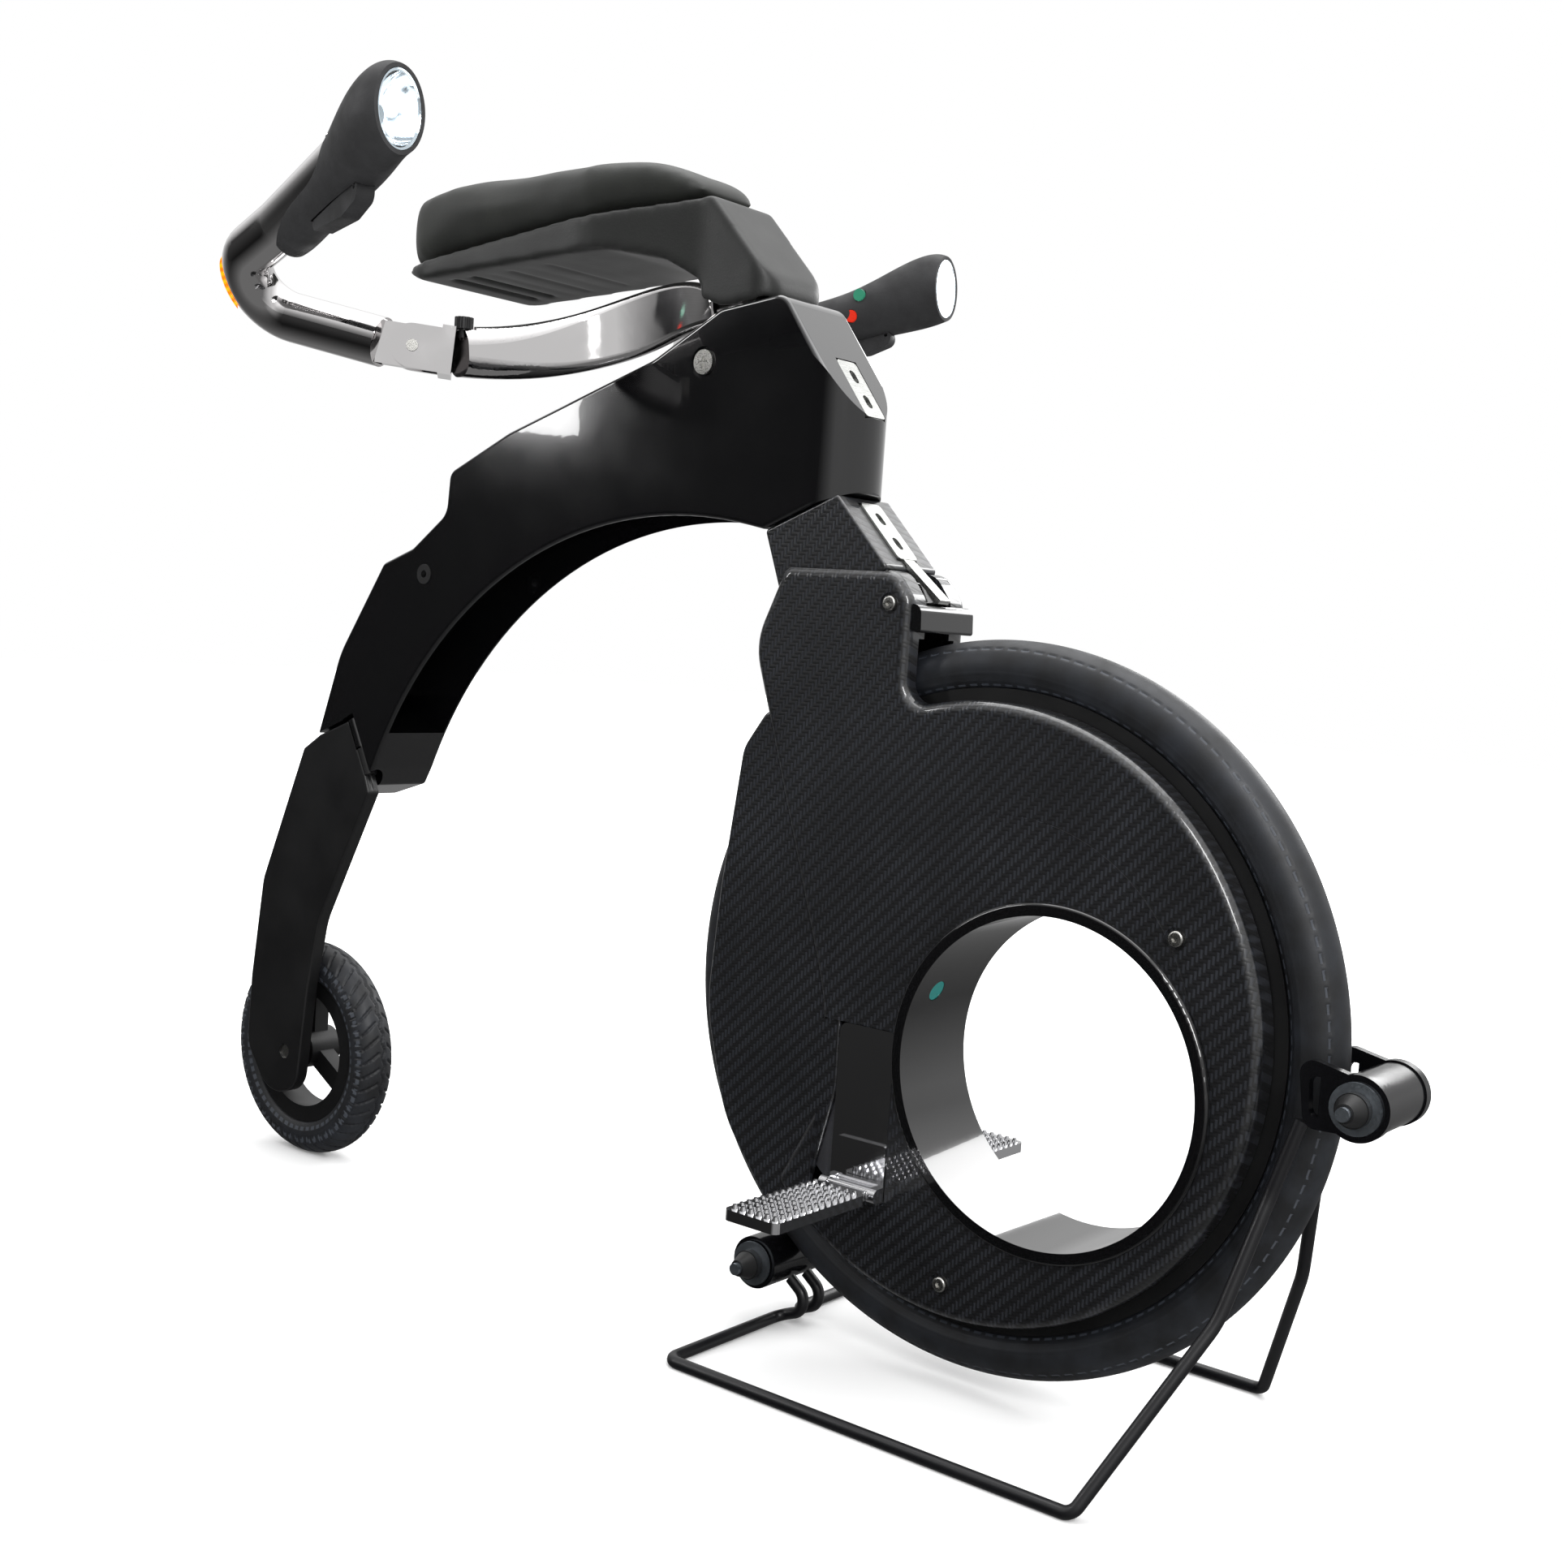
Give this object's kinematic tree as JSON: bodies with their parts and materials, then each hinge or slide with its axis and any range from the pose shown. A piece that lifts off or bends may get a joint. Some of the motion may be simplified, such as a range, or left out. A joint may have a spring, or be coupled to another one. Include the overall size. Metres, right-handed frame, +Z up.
{
  "type": "folding electric bicycle",
  "caption": "Folding electric mini-farthing bicycle with a hubless front wheel, small rear wheel, under-seat handlebar with headlamp grips, and a bent-wire stand.",
  "frame": {"origin": "under the middle of the whole bicycle, on the floor", "axes": "+X forward along the bicycle, +Y to the rider's left, +Z up"},
  "size_m": [1.0432, 0.628, 0.8019],
  "materials": {
    "carbon": "clear-coated carbon twill",
    "frame_lacquer": "gloss black lacquer over moulded composite",
    "fork_satin": "satin black",
    "seat_skin": "self-skinned polyurethane foam, matte",
    "seat_shell": "moulded foam underside, satin",
    "polished_aluminium": "mirror polished",
    "grip_rubber": "soft-touch moulding",
    "lens_clear": "clear polycarbonate",
    "reflector_mirror": "vacuum-metallised",
    "amber_lens": "amber acrylic",
    "tyre_slick": "slick tread",
    "tyre_tread": "block tread",
    "black_metal": "satin black",
    "stainless": "button-head stainless",
    "bearing_steel": "ground steel",
    "latch_plate": "satin nickel",
    "peg_chrome": "bright chrome",
    "teal_button": "lit teal",
    "button_green": "green ring",
    "button_red": "red",
    "stand_gloss": "gloss black",
    "stand_wire_black": "satin black powder coat",
    "zinc": "zinc plated",
    "nut_black": "moulded nylon",
    "motor_alloy": "die-cast",
    "battery_wrap": "shrink wrap",
    "roller_polymer": "polyurethane roller"
  },
  "bodies": {
    "frame": {"frame_shell": "frame_lacquer", "seat_base": "seat_shell", "seat_pad": "seat_skin", "frame_screws": "stainless", "frame_inserts": "black_metal", "head_bearings": "bearing_steel"},
    "upper_latch": {"upper_latch": "latch_plate"},
    "steering": {"steerer_tube": "bearing_steel", "fork_head": "carbon", "fold_pin": "bearing_steel", "handlebar_yoke": "polished_aluminium", "bar_hinge_pins": "stainless"},
    "lower_latch": {"lower_latch": "latch_plate"},
    "hub": {"cover_right": "carbon", "cover_left": "carbon", "rear_panels": "carbon", "hub_sleeve": "frame_lacquer", "crown_block": "frame_lacquer", "cover_screws": "stainless", "peg_mounts": "peg_chrome", "roller_pins": "bearing_steel", "motor_stator": "motor_alloy", "battery_pack": "battery_wrap", "controller": "motor_alloy"},
    "power_button": {"power_button": "teal_button"},
    "drive_rotor": {"drive_rotor": "bearing_steel"},
    "guide_roller_1": {"guide_roller_1": "roller_polymer"},
    "guide_roller_2": {"guide_roller_2": "roller_polymer"},
    "front_wheel": {"front_tyre": "tyre_slick", "front_rim": "black_metal"},
    "footpeg_right": {"footpeg_right": "peg_chrome"},
    "footpeg_left": {"footpeg_left": "peg_chrome"},
    "stand": {"stand_wires": "stand_wire_black", "stand_front_yoke": "stand_gloss", "stand_rear_yoke": "stand_gloss", "stand_rods": "zinc", "stand_nuts": "nut_black"},
    "rear_fork": {"rear_fork": "fork_satin", "fork_pivot_pin": "bearing_steel", "rear_axle": "stainless"},
    "rear_wheel": {"rear_tyre": "tyre_tread", "rear_rim": "black_metal"},
    "right_bar": {"bar_tube_right": "polished_aluminium", "grip_right": "grip_rubber", "reflector_right": "reflector_mirror", "lamp_lens_right": "lens_clear", "indicator_right": "amber_lens"},
    "right_knob": {"lock_knob_right": "nut_black"},
    "right_trigger": {"trigger_right": "grip_rubber"},
    "right_button_upper": {"button_upper_right": "button_green"},
    "right_button_lower": {"button_lower_right": "button_red"},
    "left_bar": {"bar_tube_left": "polished_aluminium", "grip_left": "grip_rubber", "reflector_left": "reflector_mirror", "lamp_lens_left": "lens_clear", "indicator_left": "amber_lens"},
    "left_knob": {"lock_knob_left": "nut_black"},
    "left_trigger": {"trigger_left": "grip_rubber"},
    "left_button_upper": {"button_upper_left": "button_green"},
    "left_button_lower": {"button_lower_left": "button_red"}
  },
  "joints": [
    {"name": "steer", "type": "hinge", "parent": "frame", "child": "steering", "pos_m": [0.08739, 0, 0.56], "axis": [-0.3907, 0, 0.9205], "range_deg": [-10, 10]},
    {"name": "main_fold", "type": "hinge", "parent": "steering", "child": "hub", "pos_m": [0.10439, 0, 0.473], "axis": [0, 1, 0], "range_deg": [0, 65]},
    {"name": "upper_latch_turn", "type": "hinge", "parent": "frame", "child": "upper_latch", "pos_m": [0.09355, 0, 0.66097], "axis": [0, -1, 0], "range_deg": [0, 50]},
    {"name": "lower_latch_turn", "type": "hinge", "parent": "steering", "child": "lower_latch", "pos_m": [0.12242, 0, 0.56554], "axis": [0, -1, 0], "range_deg": [0, 50]},
    {"name": "front_wheel_spin", "type": "hinge", "parent": "hub", "child": "front_wheel", "pos_m": [0.24739, 0, 0.247], "axis": [0, 1, 0], "continuous": true},
    {"name": "drive_rotor_spin", "type": "hinge", "parent": "hub", "child": "drive_rotor", "pos_m": [0.11775, 0, 0.32185], "axis": [0, 1, 0], "continuous": true},
    {"name": "guide_roller_1_spin", "type": "hinge", "parent": "hub", "child": "guide_roller_1", "pos_m": [0.40498, 0, 0.30436], "axis": [0, 1, 0], "continuous": true},
    {"name": "guide_roller_2_spin", "type": "hinge", "parent": "hub", "child": "guide_roller_2", "pos_m": [0.2908, 0, 0.08501], "axis": [0, 1, 0], "continuous": true},
    {"name": "power_button_press", "type": "slide", "parent": "hub", "child": "power_button", "axis": [-0.9272, 0, 0.3746], "range_m": [0, 0.0015], "stiffness_N_per_m": 400},
    {"name": "footpeg_right_fold", "type": "hinge", "parent": "hub", "child": "footpeg_right", "pos_m": [0.17439, -0.041, 0.118], "axis": [-1, 0, 0], "range_deg": [0, 90]},
    {"name": "footpeg_left_fold", "type": "hinge", "parent": "hub", "child": "footpeg_left", "pos_m": [0.17439, 0.041, 0.118], "axis": [1, 0, 0], "range_deg": [0, 90]},
    {"name": "stand_release", "type": "slide", "parent": "hub", "child": "stand", "axis": [0, 0, -1], "range_m": [0, 0.3]},
    {"name": "rear_fork_fold", "type": "hinge", "parent": "frame", "child": "rear_fork", "pos_m": [-0.34061, -0.0265, 0.337], "axis": [-0.4775, 0, 0.8786], "range_deg": [0, 75]},
    {"name": "rear_wheel_spin", "type": "hinge", "parent": "rear_fork", "child": "rear_wheel", "pos_m": [-0.42961, 0, 0.092], "axis": [0, 1, 0], "continuous": true},
    {"name": "right_bar_fold", "type": "hinge", "parent": "steering", "child": "right_bar", "pos_m": [-0.15461, -0.165, 0.656], "axis": [0.7334, -0.6798, 0], "range_deg": [0, 80]},
    {"name": "right_knob_pull", "type": "slide", "parent": "steering", "child": "right_knob", "axis": [0, 0, 1], "range_m": [0, 0.004], "stiffness_N_per_m": 400},
    {"name": "right_trigger_squeeze", "type": "hinge", "parent": "right_bar", "child": "right_trigger", "pos_m": [-0.07328, -0.28009, 0.73097], "axis": [0.2552, 0.9669, 0], "range_deg": [0, 4], "stiffness_Nm_per_rad": 0.5, "springref_deg": -2.86},
    {"name": "right_button_upper_press", "type": "slide", "parent": "right_bar", "child": "right_button_upper", "axis": [-0.0995, -0.9948, 0.0199], "range_m": [0, 0.0015], "stiffness_N_per_m": 300},
    {"name": "right_button_lower_press", "type": "slide", "parent": "right_bar", "child": "right_button_lower", "axis": [-0.0995, -0.9948, 0.0199], "range_m": [0, 0.0015], "stiffness_N_per_m": 300},
    {"name": "left_bar_fold", "type": "hinge", "parent": "steering", "child": "left_bar", "pos_m": [-0.15461, 0.165, 0.656], "axis": [-0.7334, -0.6798, 0], "range_deg": [0, 80]},
    {"name": "left_knob_pull", "type": "slide", "parent": "steering", "child": "left_knob", "axis": [0, 0, 1], "range_m": [0, 0.004], "stiffness_N_per_m": 400},
    {"name": "left_trigger_squeeze", "type": "hinge", "parent": "left_bar", "child": "left_trigger", "pos_m": [-0.07328, 0.28009, 0.73097], "axis": [-0.2552, 0.9669, 0], "range_deg": [0, 4], "stiffness_Nm_per_rad": 0.5, "springref_deg": -2.86},
    {"name": "left_button_upper_press", "type": "slide", "parent": "left_bar", "child": "left_button_upper", "axis": [-0.0995, 0.9948, 0.0199], "range_m": [0, 0.0015], "stiffness_N_per_m": 300},
    {"name": "left_button_lower_press", "type": "slide", "parent": "left_bar", "child": "left_button_lower", "axis": [-0.0995, 0.9948, 0.0199], "range_m": [0, 0.0015], "stiffness_N_per_m": 300}
  ],
  "couplings": [
    {"joint": "drive_rotor_spin", "follows": "front_wheel_spin", "ratio": 6},
    {"joint": "guide_roller_1_spin", "follows": "front_wheel_spin", "ratio": 15},
    {"joint": "guide_roller_2_spin", "follows": "front_wheel_spin", "ratio": 15}
  ]
}
